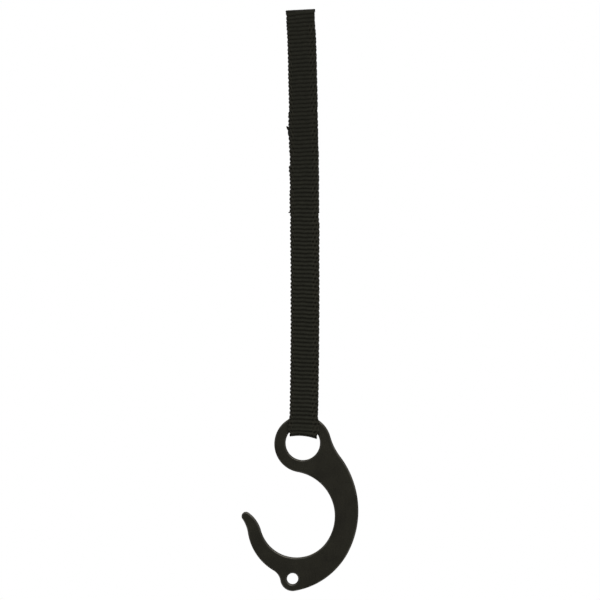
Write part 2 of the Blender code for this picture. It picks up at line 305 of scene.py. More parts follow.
def anodisedAluminium():
    # Aluminium plate, tumbled and then anodised black: a dyed oxide over fine tumbling pits.
    # The eye sees a satin charcoal with a warm cast and faint clouds. Its rounded edges are painted paler, as
    # worn metal and as a painted highlight.
    look = plateLook
    material, tree, shader = newMaterial("anodised_aluminium")
    place = addNode(tree, "ShaderNodeTexCoord").outputs["Object"]
    edge = addNode(tree, "ShaderNodeAttribute", attribute_name="edge").outputs["Fac"]
    grit = addNode(tree, "ShaderNodeTexNoise", {
        "Vector": place, "Scale": 1 / (look["grit"] * millimetre), "Detail": 3.0,
    })
    clouds = addNode(tree, "ShaderNodeTexNoise", {
        "Vector": place, "Scale": 1 / (look["cloud"] * millimetre), "Detail": 4.0,
    })
    both = addNode(tree, "ShaderNodeMath", {
        0: grit.outputs["Fac"], 1: look["gritShare"], 2: clouds.outputs["Fac"],
    }, operation="MULTIPLY_ADD")
    share = addNode(tree, "ShaderNodeMapRange", {
        "Value": both.outputs[0], "From Min": look["shading"][0], "From Max": look["shading"][1],
    })
    dye = addNode(tree, "ShaderNodeMix", {
        "Factor": share.outputs[0], 6: hexColour(look["colour"]), 7: hexColour(look["paleColour"]),
    }, data_type="RGBA")
    # Wear and painted highlight: the rounded edges are painted paler, most at the middle of each rounding, in
    # patches by the clouds
    wearAndHighlightMask = addNode(tree, "ShaderNodeMath", {0: edge, 1: clouds.outputs["Fac"]}, operation="MULTIPLY")
    wearAndHighlightShare = addNode(tree, "ShaderNodeMapRange", {
        "Value": wearAndHighlightMask.outputs[0], "From Min": look["wearAndHighlight"][0], "From Max": look["wearAndHighlight"][1],
        "To Max": look["mostWearAndHighlight"],
    })
    colour = addNode(tree, "ShaderNodeMix", {
        "Factor": wearAndHighlightShare.outputs[0], 6: dye.outputs[2], 7: hexColour(look["wearAndHighlightColour"]),
    }, data_type="RGBA")
    tree.links.new(colour.outputs[2], shader.inputs["Base Color"])
    rough = addNode(tree, "ShaderNodeMapRange", {
        "Value": both.outputs[0], "From Min": look["rough"][0], "From Max": look["rough"][1],
        "To Min": look["roughness"][0], "To Max": look["roughness"][1],
    })
    tree.links.new(rough.outputs[0], shader.inputs["Roughness"])
    bump = addNode(tree, "ShaderNodeBump", {
        "Height": grit.outputs["Fac"], "Strength": look["bumpStrength"],
        "Distance": look["bumpHeight"] * millimetre,
    })
    tree.links.new(bump.outputs[0], shader.inputs["Normal"])
    shader.inputs["Metallic"].default_value = 1.0
    shader.inputs["Specular Tint"].default_value = hexColour(look["grazingColour"])
    return material


# Webbing: the line that its middle follows

tape = {
    "width": 0.0160,
    "thickness": 0.0016,  # over the crests of the ribs
    "gap": 0.0006,  # between the strands where they hang together
    "lean": 0.00160,  # how far right of the top the webbing reaches the eye
    "bow": 0.00175,  # how far it bows to the right at half height
    "floorRise": 0.0038,  # middle of the webbing over the eye's centre, where it passes under the wall
    "corner": 0.0015,  # radius of its two bends there
    "openBelow": 0.0048,  # the strands begin to part this far below the line where they fold above the hook
    "joinStep": 0.0140,  # the height over which the lower end steps out over the upper one
    "routeStep": 0.0001,
    "leastStep": 1e-8,  # points closer than this are one
    "bendSteps": 40,
}


def line(start, end):
    # Points of the route, each (depth, height), on a straight stretch
    count = max(2, round(math.dist(start, end) / tape["routeStep"]))
    return np.linspace(start, end, count)


def shift(start, end):
    # A stretch that eases from one depth to another
    t = np.linspace(0, 1, len(line(start, end)))
    return np.column_stack((mix(start[0], end[0], ease(t)), mix(start[1], end[1], t)))


def bend(y, z, radius, start, end):
    # An arc about (y, z), from one angle to another in degrees, from +Y towards +Z
    a = np.radians(np.linspace(start, end, tape["bendSteps"]))
    return np.column_stack((y + radius * np.cos(a), z + radius * np.sin(a)))


def tapeRoute():
    # From the upper cut end, on the back, over the top, down the front, through the eye and up the back
    half = tape["thickness"] / 2
    near = tape["gap"] / 2 + half
    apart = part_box("webbing_bight")[1].y - half
    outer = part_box("webbing_lower_end")[1].y - half
    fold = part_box("webbing_top_loop")[1].z - half - near
    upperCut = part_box("webbing_upper_end")[0].z
    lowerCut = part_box("webbing_lower_end")[1].z
    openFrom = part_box("hook_plate")[1].z + tape["gap"] / 2
    openTo = jointPlace["hook_tilt"].z - tape["openBelow"]
    floor = eye.z + tape["floorRise"]
    corner = tape["corner"]
    stepFoot = upperCut - tape["joinStep"]
    stepHead = upperCut - tape["gap"] / 2
    points = np.vstack((
        line((near, upperCut), (near, fold)),
        bend(0, fold, near, 0, 180),
        line((-near, fold), (-near, openTo)),
        shift((-near, openTo), (-apart, openFrom)),
        line((-apart, openFrom), (-apart, floor + corner)),
        bend(corner - apart, floor + corner, corner, 180, 270),
        line((corner - apart, floor), (apart - corner, floor)),
        bend(apart - corner, floor + corner, corner, 270, 360),
        line((apart, floor + corner), (apart, openFrom)),
        shift((apart, openFrom), (near, openTo)),
        line((near, openTo), (near, stepFoot)),
        shift((near, stepFoot), (outer, stepHead)),
        line((outer, stepHead), (outer, lowerCut)),
    ))
    gaps = np.linalg.norm(np.diff(points, axis=0), axis=1)
    points = points[np.concatenate(([True], gaps > tape["leastStep"]))]
    steps = np.linalg.norm(np.diff(points, axis=0), axis=1)
    return points, np.concatenate(([0], np.cumsum(steps)))


routePoints, routeRun = tapeRoute()
tapeLength = routeRun[-1]
turnRun = routeRun[np.argmin(routePoints[:, 1])]
print("webbing: %.1f mm cut length" % (tapeLength / millimetre))


def frontRun(z):
    # Distance along the webbing to a height on its front strand
    front = (routePoints[:, 0] < 0) & (routeRun < turnRun)
    return float(np.interp(-z, -routePoints[front, 1], routeRun[front]))


def backRun(z):
    back = (routePoints[:, 0] > 0) & (routeRun > turnRun)
    return float(np.interp(z, routePoints[back, 1], routeRun[back]))


def tapeMiddle(z):
    # Sideways place of the webbing's middle
    down = np.clip(-z / -eye.z, 0, 1)
    return tape["lean"] * down + 4 * tape["bow"] * down * (1 - down)


# Webbing: its weave

ribs = {
    "pitch": 0.002314,
    "firstGroove": 0.00150,  # below the top, on the front strand
    "depth": 0.00045,  # crest to groove on each face
    "upperDepth": 0.84,  # the ribs of the upper part have this share of it
    "upperEnd": (-0.060, 0.075),  # the upper part goes over into the lower from this height, over so much
    "roundness": (0.70, 1.25),  # flatter crests in the upper part than in the lower
    "upperShare": (0.0, 0.745),  # how high the grooves stand, and how much higher the crests
    "lowerShare": (0.06, 0.94),
    "wander": 0.035,  # of a pitch, how far the ribs stray from straight lines
    "wanderWaves": (  # size, radians per metre across and along, and start
        (1.0, 610, 95, 0.0),
        (0.7, 1130, -61, 1.3),
        (0.5, 0, 41, 0.4),
    ),
    "pushed": 0.30,  # of a pitch, how far the fold has pushed the ribs down at the left of the top
    "pushedOver": 0.010,  # height within which that fades
    "pushedFrom": (-0.0030, 0.0012),  # place across, and the width over which it blends
    "variation": (0.10, 0.35),  # how much the ribs' depths and the selvages' yarns differ
    "counted": 400,  # ribs with a size of their own
    "countedBefore": 60,  # how many of them lie before the first groove
    "seed": 7,
    "rowsPerRib": 9,
}
selvages = {
    "left": 0.0024,  # width
    "right": 0.0042,
    "blend": 0.0005,  # width over which they go over into the ribs
    "leftBlendFrom": 0.0004,  # the left one begins to blend this far inside its width
    "leftBelow": (-0.008, 0.014),  # their yarns show from this height, fully so far below it
    "rightBelow": (-0.004, 0.006),
    "leftYarn": 0.0008,  # width of their yarns
    "rightYarn": 0.00105,
    "yarnRise": 0.50,  # how far a yarn fills each second groove
    "crestHides": 0.6,  # how much less of it shows on a crest
    "yarnSlant": 0.55,
    "leftTooth": 0.00050,  # how far the weft's turns stand out at the edges
    "rightTooth": 0.00024,
    "toothChange": 0.00008,
    "toothWidth": 0.0016,
    "edgeRound": 0.0006,
    "edgeAngles": (0, 25, 48, 70),  # of the rounded edges' columns of points
    "columns": (10, 24, 16),  # of points in the left selvage, between them and in the right one
}
draws = np.random.default_rng(ribs["seed"]).standard_normal((2, ribs["counted"]))
ownSize = 1 + np.array(ribs["variation"])[:, None] * draws
grooveRun = frontRun(-ribs["firstGroove"])


def nearestGroove(run):
    return grooveRun + round((run - grooveRun) / ribs["pitch"]) * ribs["pitch"]


def sizeOf(kind, number):
    # A rib's or a selvage yarn's own size, about 1
    place = np.floor(number).astype(int) + ribs["countedBefore"]
    return ownSize[kind, np.clip(place, 0, ribs["counted"] - 1)]


def acrossPlaces():
    # Places across the webbing, closer together over the rounded edges and the selvages
    half, edge = tape["width"] / 2, selvages["edgeRound"]
    leftColumns, fieldColumns, rightColumns = selvages["columns"]
    rounding = edge * (1 - np.cos(np.radians(selvages["edgeAngles"])))
    left = np.linspace(edge, selvages["left"], leftColumns)
    right = np.linspace(edge, selvages["right"], rightColumns)
    field = np.linspace(selvages["left"] - half, half - selvages["right"], fieldColumns)
    places = np.concatenate((rounding - half, left - half, field, half - right, half - rounding))
    return np.unique(places.round(7))


def weave(u, s, z):
    # At a place across, a distance along and a height: how high the weave stands, from 0 in a groove to 1
    # on a crest, how deep it is, how far the edge is moved to the right, and how much of a selvage is there
    half = tape["width"] / 2
    waves = [a * np.sin(u * across + s * along + start) for a, across, along, start in ribs["wanderWaves"]]
    count = (s - grooveRun) / ribs["pitch"] + ribs["wander"] * sum(waves)
    pushedAt, pushedBlend = ribs["pushedFrom"]
    atLeft = ease(0.5 + (pushedAt - u) / pushedBlend)
    count = count - ribs["pushed"] * ease(1 + z / ribs["pushedOver"]) * atLeft
    lower = easeBelow(z, *ribs["upperEnd"])
    rib = np.abs(np.sin(np.pi * count)) ** mix(*ribs["roundness"], lower)

    blend = selvages["blend"]
    leftShare = 1 - ease((u + half - selvages["left"] + selvages["leftBlendFrom"]) / blend)
    leftShare = leftShare * easeBelow(z, *selvages["leftBelow"])
    rightShare = ease((u - half + selvages["right"]) / blend) * easeBelow(z, *selvages["rightBelow"])
    turn, slant = np.cos(np.pi * count), selvages["yarnSlant"] * np.sin(np.pi * count)
    fromLeft = np.pi * (u + half) / selvages["leftYarn"]
    fromRight = np.pi * (half - u) / selvages["rightYarn"]
    knots = (turn * np.cos(fromLeft) + slant * np.sin(fromLeft)) * leftShare
    knots = knots + (turn * np.cos(fromRight) + slant * np.sin(fromRight)) * rightShare

    (upperGroove, upperCrest), (lowerGroove, lowerCrest) = ribs["upperShare"], ribs["lowerShare"]
    share = mix(upperGroove, lowerGroove, lower) + mix(upperCrest, lowerCrest, lower) * rib
    yarnRise = selvages["yarnRise"] * sizeOf(1, count + 0.5)
    share = np.clip(share + yarnRise * knots * (1 - selvages["crestHides"] * rib), 0, 1)
    depth = ribs["depth"] * sizeOf(0, count) * mix(ribs["upperDepth"], 1, lower)

    notch, changed, width = 0.5 - rib, selvages["toothChange"] * turn, selvages["toothWidth"]
    leftIn = (selvages["leftTooth"] * notch + changed) * ease((-u - half + width) / width)
    rightIn = (selvages["rightTooth"] * notch + changed) * ease((u - half + width) / width)
    return share, depth, leftIn - rightIn, leftShare + rightShare


# Webbing: how it hangs, and its mesh

drape = {
    "topSlope": 0.062,  # the ribs rise to the right at the top and fall to the right at the eye
    "eyeSlope": -0.047,
    "slopeTurn": (-0.050, 0.115),  # from this height, over so much
    "spread": 0.0009,  # each edge stands out this much where the webbing is pressed over the plate
    "pressedBelow": (-0.2312, 0.0028),  # from this height, fully so far below it. The next two are alike
    "pressedFlat": 0.04,  # how far the grooves close there
    "flatGroove": (0.50, -0.2374, 0.0007),  # and one groove more: how far, where, over what height
    "narrow": 0.0003,  # each edge is drawn in this much where the webbing turns under the wall
    "narrowBelow": (-0.2392, 0.0020),
    "archRise": 0.0010,  # in the eye the middle lies this much higher
    "archSides": 1.1,  # and the edges lie this many times that below the middle
    "archBelow": (-0.2385, 0.0036),
    "eyeTilt": 0.00038,  # the left edge lies this much higher there, and the right one lower
    "foldSpread": 0.0003,  # each edge stands out this much at the top fold
    "foldOver": 0.0012,  # height within which that fades
    # How far the front strand, the one behind it and the outer layer hang to the right, by height, in mm
    "frontAside": (
        (0, 0), (-6, -0.12), (-14, 0.12), (-26, 0.12), (-36, 0), (-54, 0), (-58, 0.2), (-70, 0.2),
        (-76.5, 0.15), (-78.8, 0.1), (-80, 0.1), (-80.8, 0.05), (-85.6, -0.1), (-86.8, -0.1),
        (-87.9, -0.15), (-90.8, -0.2), (-92.5, -0.25), (-111, -0.25), (-114.8, -0.15), (-118, -0.1),
        (-120.5, -0.3), (-125, -0.35), (-132, -0.32), (-142, -0.2), (-165, -0.15), (-185, 0),
    ),
    "rearAside": (
        (-6, 0), (-14, 0.4), (-26, 0.4), (-36, 0.35), (-54, 0.35), (-58, -0.5), (-66, -0.5), (-70, 0.1),
        (-76.5, 0.1), (-78.8, 0.35), (-80, 0.4), (-80.8, 0.4), (-85.6, 0.35), (-86.8, 0.3), (-90.8, 0.3),
        (-92.5, 0.4), (-94.8, 0.4), (-95.5, 0.38), (-99.5, 0.28), (-101.6, 0.25), (-104.5, 0.2),
        (-109, 0.25), (-111, 0.25), (-114.8, 0.2), (-118, 0.2), (-120.5, 0.3), (-125, 0.3), (-132, 0.2),
        (-142, 0.15), (-165, 0.2), (-225, 0.2), (-232, 0),
    ),
    "outerAside": (
        (-70, -0.5), (-76.5, -0.42), (-78.8, -0.37), (-80, -0.35), (-80.8, -0.1), (-85.6, -0.1),
        (-86.8, -0.25), (-87.9, -0.72), (-90.8, -0.75), (-92.5, -0.5), (-94.8, -0.3), (-95.5, 0),
        (-99.5, 0), (-101.6, -0.4), (-104.5, -0.6), (-109, -0.58), (-111, -0.58), (-114.8, -0.5),
        (-118, 0), (-120.5, 0.3), (-125, 0.3), (-132, 0.2), (-142, 0.15), (-165, 0.2), (-225, 0.2),
        (-232, 0),
    ),
}
cutEnds = {
    "rows": (0.00003, 0.00009, 0.00017),  # places of more rows of points
    "melted": (0.0011, 0.75),  # the ribs are melted together over this length, at this height
    "rounded": 0.0003,  # length over which the end thins
    "thinnest": 0.15,  # down to this share
    "upperFlare": (0.00145, 0.0014, 0.0),  # how far the left corner is spread, over what length, and lifted
    "lowerFlare": (0.0012, 0.0028, 0.0021),
    "flareWidth": 0.004,
}
pointReach = 0.0003  # the webbing's direction at a row is taken between two points this far from it
innerFace = 40  # mm, where the inner face lies in the pattern, so that it doesn't repeat the outer face


def strandShift(y, z):
    # The strands behind don't hang exactly behind the front one
    shifts = []
    for strand in ("frontAside", "rearAside", "outerAside"):
        heights, aside = np.array(sorted(drape[strand])).T * millimetre
        shifts.append(np.interp(z, heights, aside))
    layer = y / (tape["thickness"] + tape["gap"])
    behind, outside = ease(layer + 0.5), ease(layer - 0.5)
    return mix(shifts[0], mix(shifts[1], shifts[2], outside), behind)


def tapeRows(runFrom, runTo):
    # Distances along the webbing, more of them at a cut end, and one past each end for the normals there
    step = ribs["pitch"] / ribs["rowsPerRib"]
    rows = np.linspace(runFrom, runTo, round((runTo - runFrom) / step) + 1)
    more = np.array(cutEnds["rows"])
    if runFrom <= 0:
        rows = np.concatenate((rows, runFrom + more))
    if runTo >= tapeLength:
        rows = np.concatenate((rows, runTo - more))
    return np.concatenate(((runFrom - step,), np.sort(rows), (runTo + step,)))


def routeAt(run):
    return np.column_stack([np.interp(run, routeRun, routePoints[:, k]) for k in (0, 1)])


def tapeSurface(rows, cutStart, cutEnd):
    # Points round the webbing at each row, their places across and along it, and the weave there
    half, thick = tape["width"] / 2, tape["thickness"] / 2
    across = acrossPlaces()
    ringU = np.concatenate((across, across[-2:0:-1]))
    side = np.concatenate((np.ones(len(across)), -np.ones(len(across) - 2)))
    middle, along = routeAt(rows), routeAt(rows + pointReach) - routeAt(rows - pointReach)
    along /= np.linalg.norm(along, axis=1)[:, None]
    u, s = np.meshgrid(ringU, rows)
    y, z = (np.repeat(middle[:, k:k + 1], len(ringU), axis=1) for k in (0, 1))
    share, depth, moved, selvage = weave(u, s, z)
    under = easeBelow(z, *drape["narrowBelow"])
    pressed = easeBelow(z, *drape["pressedBelow"]) * (1 - under)
    flatBy, flatAt, flatOver = drape["flatGroove"]
    shut = drape["pressedFlat"] * pressed + flatBy * np.exp(-((z - flatAt) / flatOver) ** 2)
    share = mix(share, 1, shut)

    toEnd = np.minimum(s if cutStart else 1, (tapeLength - s) if cutEnd else 1)
    meltedOver, meltedShare = cutEnds["melted"]
    share = mix(meltedShare, share, ease(toEnd / meltedOver))
    fromEdge = np.clip((half - np.abs(u)) / selvages["edgeRound"], 0, 1)
    edgeShape = np.sqrt(1 - (1 - fromEdge) ** 2)
    endShape = np.sqrt(1 - (1 - np.clip(toEnd / cutEnds["rounded"], 0, 1)) ** 2)
    endShape = mix(cutEnds["thinnest"], 1, endShape)
    height = (thick - depth * (1 - share) - tackPull(u, y, z)) * edgeShape * endShape

    reach = u / half
    slope = mix(drape["topSlope"], drape["eyeSlope"], easeBelow(z, *drape["slopeTurn"]))
    arch = drape["archRise"] * (1 - drape["archSides"] * reach ** 2) - drape["eyeTilt"] * reach
    flareBy, flareOver, flareLift = cutEnds["upperFlare" if cutStart else "lowerFlare"]
    corner = np.exp(-(toEnd / flareOver) ** 2) * ease((-u - half) / cutEnds["flareWidth"] + 1)
    lift = slope * u + easeBelow(z, *drape["archBelow"]) * arch + flareLift * corner
    atFold = ease(1 + z / drape["foldOver"])
    spread = (drape["spread"] * pressed - drape["narrow"] * under + drape["foldSpread"] * atFold) * reach

    points = np.empty((*u.shape, 3))
    points[:, :, 0] = tapeMiddle(z) + u + moved - flareBy * corner + spread + strandShift(y, z)
    points[:, :, 1] = y + along[:, 1:2] * side * height
    points[:, :, 2] = z - along[:, 0:1] * side * height + lift
    return points, u, s, share, selvage


def rowNormals(points, row):
    # Normals along a row of points, from the rows beside it, so that two lengths meet without a line
    along = points[row + 1] - points[row - 1]
    across = np.roll(points[row], -1, axis=0) - np.roll(points[row], 1, axis=0)
    normals = np.cross(across, along)
    return normals / np.linalg.norm(normals, axis=1)[:, None]


def ringFaces(rowCount, ring):
    # Four-sided faces between rows of points that each run once round
    lower = np.arange(rowCount - 1)[:, None] * ring
    here = np.arange(ring)[None, :]
    after = (here + 1) % ring
    corners = (lower + here, lower + after, lower + ring + after, lower + ring + here)
    return np.stack(corners, axis=-1).reshape(-1, 4).tolist()


def endFaces(rowCount, ring):
    # Strips across the first and the last row, from one face of the webbing to the other
    faces = []
    for first, turned in ((0, True), ((rowCount - 1) * ring, False)):
        for i in range(ring // 2):
            face = [first + i, first + i + 1, first + (ring - i - 1) % ring, first + (ring - i) % ring]
            face = list(dict.fromkeys(face))
            faces.append(face[::-1] if turned else face)
    return faces


def addValues(mesh, name, values):
    attribute = mesh.attributes.new(name, "FLOAT", "POINT")
    attribute.data.foreach_set("value", np.asarray(values, np.float32))


def cornerPoints(mesh):
    # The point at each corner of each face
    corners = np.empty(len(mesh.loops), np.int32)
    mesh.loops.foreach_get("vertex_index", corners)
    return corners


def addMap(mesh, across, along):
    layer = mesh.uv_layers.new(name="tapeMap")
    layer.data.foreach_set("uv", np.column_stack((across, along)).ravel().astype(np.float32))


def finishPiece(name, mesh, material):
    mesh.materials.append(material)
    mesh.validate()
    mesh.shade_smooth()
    mesh.set_sharp_from_angle(angle=math.radians(sharpFrom))
    piece = bpy.data.objects.new(name, mesh)
    bpy.context.scene.collection.objects.link(piece)
    return piece


def webbingPiece(name, runFrom, runTo, material):
    # A length of webbing with real ribs and selvages on both faces, between two distances along the route
    cutStart, cutEnd = runFrom <= 0, runTo >= tapeLength
    rows = tapeRows(runFrom, runTo)
    surface = tapeSurface(rows, cutStart, cutEnd)
    seams = (rowNormals(surface[0], 1), rowNormals(surface[0], len(rows) - 2))
    points, u, s, share, selvage = (values[1:-1] for values in surface)
    rowCount, ring = u.shape
    sides = ringFaces(rowCount, ring)
    mesh = bpy.data.meshes.new(name)
    mesh.from_pydata(points.reshape(-1, 3).tolist(), [], sides + endFaces(rowCount, ring))
    addValues(mesh, "weaveHeight", share.ravel())
    addValues(mesh, "selvage", selvage.ravel())
    corners = cornerPoints(mesh)
    onSides = np.arange(len(corners)) < 4 * len(sides)
    inside = onSides & (np.arange(len(corners)) // 4 % ring >= ring // 2)
    addMap(mesh, u.ravel()[corners] / millimetre + inside * innerFace, s.ravel()[corners] / millimetre)
    piece = finishPiece(name, mesh, material)

    normals = np.zeros((len(corners), 3))
    for seam, first, cut in ((seams[0], 0, cutStart), (seams[1], (rowCount - 1) * ring, cutEnd)):
        if not cut:
            there = onSides & (corners >= first) & (corners < first + ring)
            normals[there] = seam[corners[there] - first]
    mesh.normals_split_custom_set(normals.tolist())
    return piece


# Bar tacks

tackLook = {
    "pitch": 0.00042,  # between stitches
    "thread": 0.00034,  # diameter
    "height": 0.0021,
    "width": 0.0120,
    "rise": 0.00022,
    "dive": 2.2,  # how deep a stitch goes in at its two ends, in rises
    "diveSharpness": 6,
    "slopeShare": 0.5,  # a tack slopes by this share of the ribs' slope
    "sides": 6,
    "pointsPerStitch": 8,
    "mapStep": 0.28,  # from one ring of points to the next in the thread's pattern
    "pull": 0.00016,  # how far a tack draws the webbing in
    "pullOver": 0.0017,  # above and below the tack
    "pullWidth": 0.0072,  # to each side of the webbing's middle
    "pullBlend": 0.0012,
}
tackNodes = sorted(name for name in frame["nodes"] if name.startswith("bar_tack"))
tackHeights = [sum(corner.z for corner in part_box(name)) / 2 for name in tackNodes]


def tackPull(u, y, z):
    # How far the tacks draw in the webbing behind the front strand
    dents = sum(np.exp(-((z - tackZ) / tackLook["pullOver"]) ** 2) for tackZ in tackHeights)
    inWidth = ease((tackLook["pullWidth"] - np.abs(u)) / tackLook["pullBlend"])
    return tackLook["pull"] * dents * (y > 0) * inWidth


def tubeMesh(path, radius, sides):
    # A round thread along a path
    path = np.asarray(path)
    along = np.gradient(path, axis=0)
    along /= np.linalg.norm(along, axis=1)[:, None]
    first = np.cross(along, (0.0, 1.0, 0.001))
    first /= np.linalg.norm(first, axis=1)[:, None]
    second = np.cross(along, first)
    angles = (np.arange(sides) * math.tau / sides)[None, :, None]
    rings = np.cos(angles) * first[:, None, :] + np.sin(angles) * second[:, None, :]
    points = path[:, None, :] + radius * rings
    last = (len(path) - 1) * sides
    caps = [list(range(sides))[::-1], [last + i for i in range(sides)]]
    return points.reshape(-1, 3), ringFaces(len(path), sides) + caps


def tackPath(centreX, z, surface, outward):
    # Zigzag stitches: each dives into the webbing at its two ends and lies over it between them
    look = tackLook
    stitches = round(look["width"] / look["pitch"])
    t = np.linspace(0, stitches, stitches * look["pointsPerStitch"] + 1)
    reach = 2 * (t % 1) - 1
    side = np.where(t.astype(int) % 2 == 0, 1, -1)
    rise = look["rise"] * (1 - reach ** look["diveSharpness"] * look["dive"])
    fromMiddle = (t / stitches - 0.5) * look["width"]
    height = side * reach * look["height"] / 2 + drape["topSlope"] * look["slopeShare"] * fromMiddle
    return np.column_stack((centreX + fromMiddle, surface + outward * rise, z + height))


def barTack(name, node, z, material):
    look = tackLook
    inside = tape["gap"] / 2
    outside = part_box("webbing_lower_end")[1].y
    x = float(tapeMiddle(np.array(z)))
    points, faces = [], []
    for surface, outward in ((outside - look["pull"], 1), (inside + look["pull"], -1)):
        path = tackPath(x, z, surface, outward)
        tubePoints, tubeFaces = tubeMesh(path, look["thread"] / 2, look["sides"])
        offset = len(points)
        points += tubePoints.tolist()
        faces += [[offset + i for i in face] for face in tubeFaces]
    mesh = bpy.data.meshes.new(name)
    mesh.from_pydata(points, [], faces)
    corners = cornerPoints(mesh)
    addMap(mesh, corners % look["sides"] / look["sides"], corners // look["sides"] * look["mapStep"])
    piece = finishPiece(name, mesh, material)
    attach(piece, "sling_middle")
    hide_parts(node)
    return piece


# Hook plate

plate = {
    "thickness": 0.0050,
    "edgeRound": 0.0012,
    "eyeRadius": 0.0098,
    "rimWall": 0.0065,
    "rimDrop": 0.00055,  # the rim's outer circle lies this far below the eye's centre
    "neckSpace": 0.0065,  # between that circle and the throat's
    "throatLeft": 0.0036,  # of the eye's centre
    "throatRadius": 0.02105,
    "spineWall": 0.0143,
    "armWall": 0.0071,
    "backRadius": 0.0514,
    "backAbove": 0.00575,  # the throat's centre
    "noseRadius": 0.0304,
    "noseBelow": 0.0022,  # the throat's centre
    "tipRadius": 0.0025,
    "tipProud": 0.00325,  # how far the tip stands out at the left of the arm
    "tipAbove": 0.00255,
    "holeRadius": 0.0032,
    "holeWall": 0.00385,
    "holeBelow": 0.01205,  # the throat's lowest point
    "holeLeft": 0.00225,
    "neckFillet": 0.0256,
    "lipFillet": 0.0185,
    "tipFillet": 0.0190,
    "waistFillet": 0.0081,
    "heelFillet": 0.0425,
    "shoulderFillet": 0.0334,
    "arcSag": 0.000004,  # how far an arc's straight pieces may lie inside it
    "arcStep": math.radians(6),
    "edgeSteps": 8,
    "flatRing": 0.0003,  # a narrow flat ring that keeps the face's shading flat up to its edge
}


def fillet(before, after, radius):
    # The circle that touches two circles, each (x, z, radius), where a hollow has a negative radius
    start, end = Vector(before[:2]), Vector(after[:2])
    span = (end - start).length
    toStart, toEnd = radius - before[2], radius - after[2]
    ahead = (end - start) / span
    along = (toStart ** 2 - toEnd ** 2 + span ** 2) / (2 * span)
    aside = math.copysign(math.sqrt(toStart ** 2 - along ** 2), toStart * toEnd * radius)
    centre = start + ahead * along + Vector((-ahead.y, ahead.x)) * aside
    return (centre.x, centre.y, radius)


def hookCircles():
    # The outline's circles about the eye's centre, anticlockwise from the rim, with fillets between
    p = plate
    rimRadius = p["eyeRadius"] + p["rimWall"]
    throatX = -p["throatLeft"]
    throatZ = -p["rimDrop"] - rimRadius - p["neckSpace"] - p["throatRadius"]
    armX = throatX - p["throatRadius"] - p["armWall"]
    holeX, holeZ = throatX - p["holeLeft"], throatZ - p["throatRadius"] - p["holeBelow"]
    backX = throatX + p["throatRadius"] + p["spineWall"] - p["backRadius"]
    shapes = (
        ((0, -p["rimDrop"], rimRadius), -p["neckFillet"]),
        ((throatX, throatZ, -p["throatRadius"]), p["lipFillet"]),
        ((armX - p["tipProud"] + p["tipRadius"], throatZ + p["tipAbove"], p["tipRadius"]), -p["tipFillet"]),
        ((armX + p["noseRadius"], throatZ - p["noseBelow"], p["noseRadius"]), -p["waistFillet"]),
        ((holeX, holeZ, p["holeRadius"] + p["holeWall"]), p["heelFillet"]),
        ((backX, throatZ + p["backAbove"], p["backRadius"]), -p["shoulderFillet"]),
    )
    circles = []
    for i, (circle, radius) in enumerate(shapes):
        circles += [circle, fillet(circle, shapes[(i + 1) % len(shapes)][0], radius)]
    return circles, (holeX, holeZ)


def arcCount(radius, sweep):
    step = 2 * math.acos(1 - plate["arcSag"] / radius)
    return max(2, math.ceil(abs(sweep) / min(step, plate["arcStep"])))


def hookArcs(circles):
    # Each circle's part in the outline, between the points where it touches its neighbours
    touches = []
    for (ax, az, ar), (bx, bz, br) in zip(circles, circles[1:] + circles[:1]):
        touches.append(Vector((ax, az)) - Vector((bx - ax, bz - az)) / (br - ar) * ar)
    arcs = []
    for i, (x, z, radius) in enumerate(circles):
        start, end = touches[i - 1] - Vector((x, z)), touches[i] - Vector((x, z))
        angle = math.atan2(start.y, start.x)
        sweep = math.atan2(end.y, end.x) - angle
        sweep = sweep % math.tau if radius > 0 else -(-sweep % math.tau)
        arcs.append((x, z, radius, angle, sweep, arcCount(abs(radius), sweep)))
    return arcs


def hookOutline(arcs, inset):
    points = []
    for x, z, radius, angle, sweep, steps in arcs:
        reach = abs(radius) - math.copysign(inset, radius)
        turns = [angle + sweep * k / steps for k in range(steps)]
        points += [(x + reach * math.cos(a), z + reach * math.sin(a)) for a in turns]
    return points


def holeOutline(x, z, radius, inset):
    steps = arcCount(radius, math.tau)
    turns = [-math.tau * k / steps for k in range(steps)]
    return [(x + (radius + inset) * math.cos(a), z + (radius + inset) * math.sin(a)) for a in turns]


